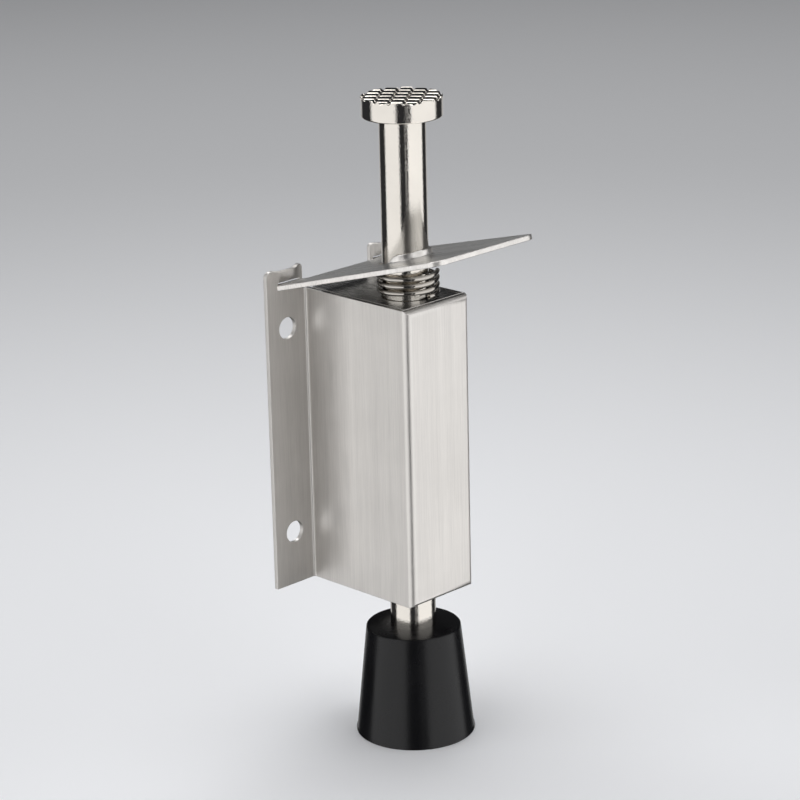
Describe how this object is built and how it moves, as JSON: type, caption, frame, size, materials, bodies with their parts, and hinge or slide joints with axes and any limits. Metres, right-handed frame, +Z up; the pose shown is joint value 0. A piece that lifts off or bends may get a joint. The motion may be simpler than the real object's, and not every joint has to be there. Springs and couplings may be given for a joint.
{
  "type": "floor door holder",
  "caption": "Door-mounted plunger stop: a spring-loaded rod with a rubber foot slides in a folded steel housing and is held by a tilting lever plate.",
  "frame": {"origin": "on the door's face, midway between the four screw holes", "axes": "+Y into the door, +Z up along the rod, X across the door's face"},
  "size_m": [0.05, 0.0556, 0.172],
  "materials": {
    "housing_steel": "stainless sheet brushed along its height",
    "lever_steel": "steel plate brushed along its length, bright sheared edges",
    "nickel_plate": "bright nickel plating, slightly warm, with a faint ripple",
    "spring_steel": "polished spring wire",
    "zinc_steel": "zinc plated, satin",
    "rubber": "satin black moulded rubber"
  },
  "bodies": {
    "frame": {"housing": "housing_steel", "lever_spring": "spring_steel", "return_spring": "spring_steel"},
    "lever": {"lever_plate": "lever_steel"},
    "plunger": {"plunger_rod": "nickel_plate", "plunger_head": "nickel_plate", "spring_washer": "zinc_steel", "retaining_ring": "spring_steel", "rubber_foot": "rubber", "foot_washer": "zinc_steel", "foot_screw": "zinc_steel"}
  },
  "joints": [
    {"name": "plunger_slide", "type": "slide", "parent": "frame", "child": "plunger", "axis": [0, 0, -1], "range_m": [0, 0.032], "stiffness_N_per_m": 250, "springref_m": -0.03, "deforming": ["return_spring"]},
    {"name": "lever_press", "type": "hinge", "parent": "frame", "child": "lever", "pos_m": [0, -0.0007, 0.0395], "axis": [1, 0, 0], "range_deg": [0, 8], "stiffness_Nm_per_rad": 0.5, "springref_deg": -8.59, "deforming": ["lever_spring"]}
  ]
}
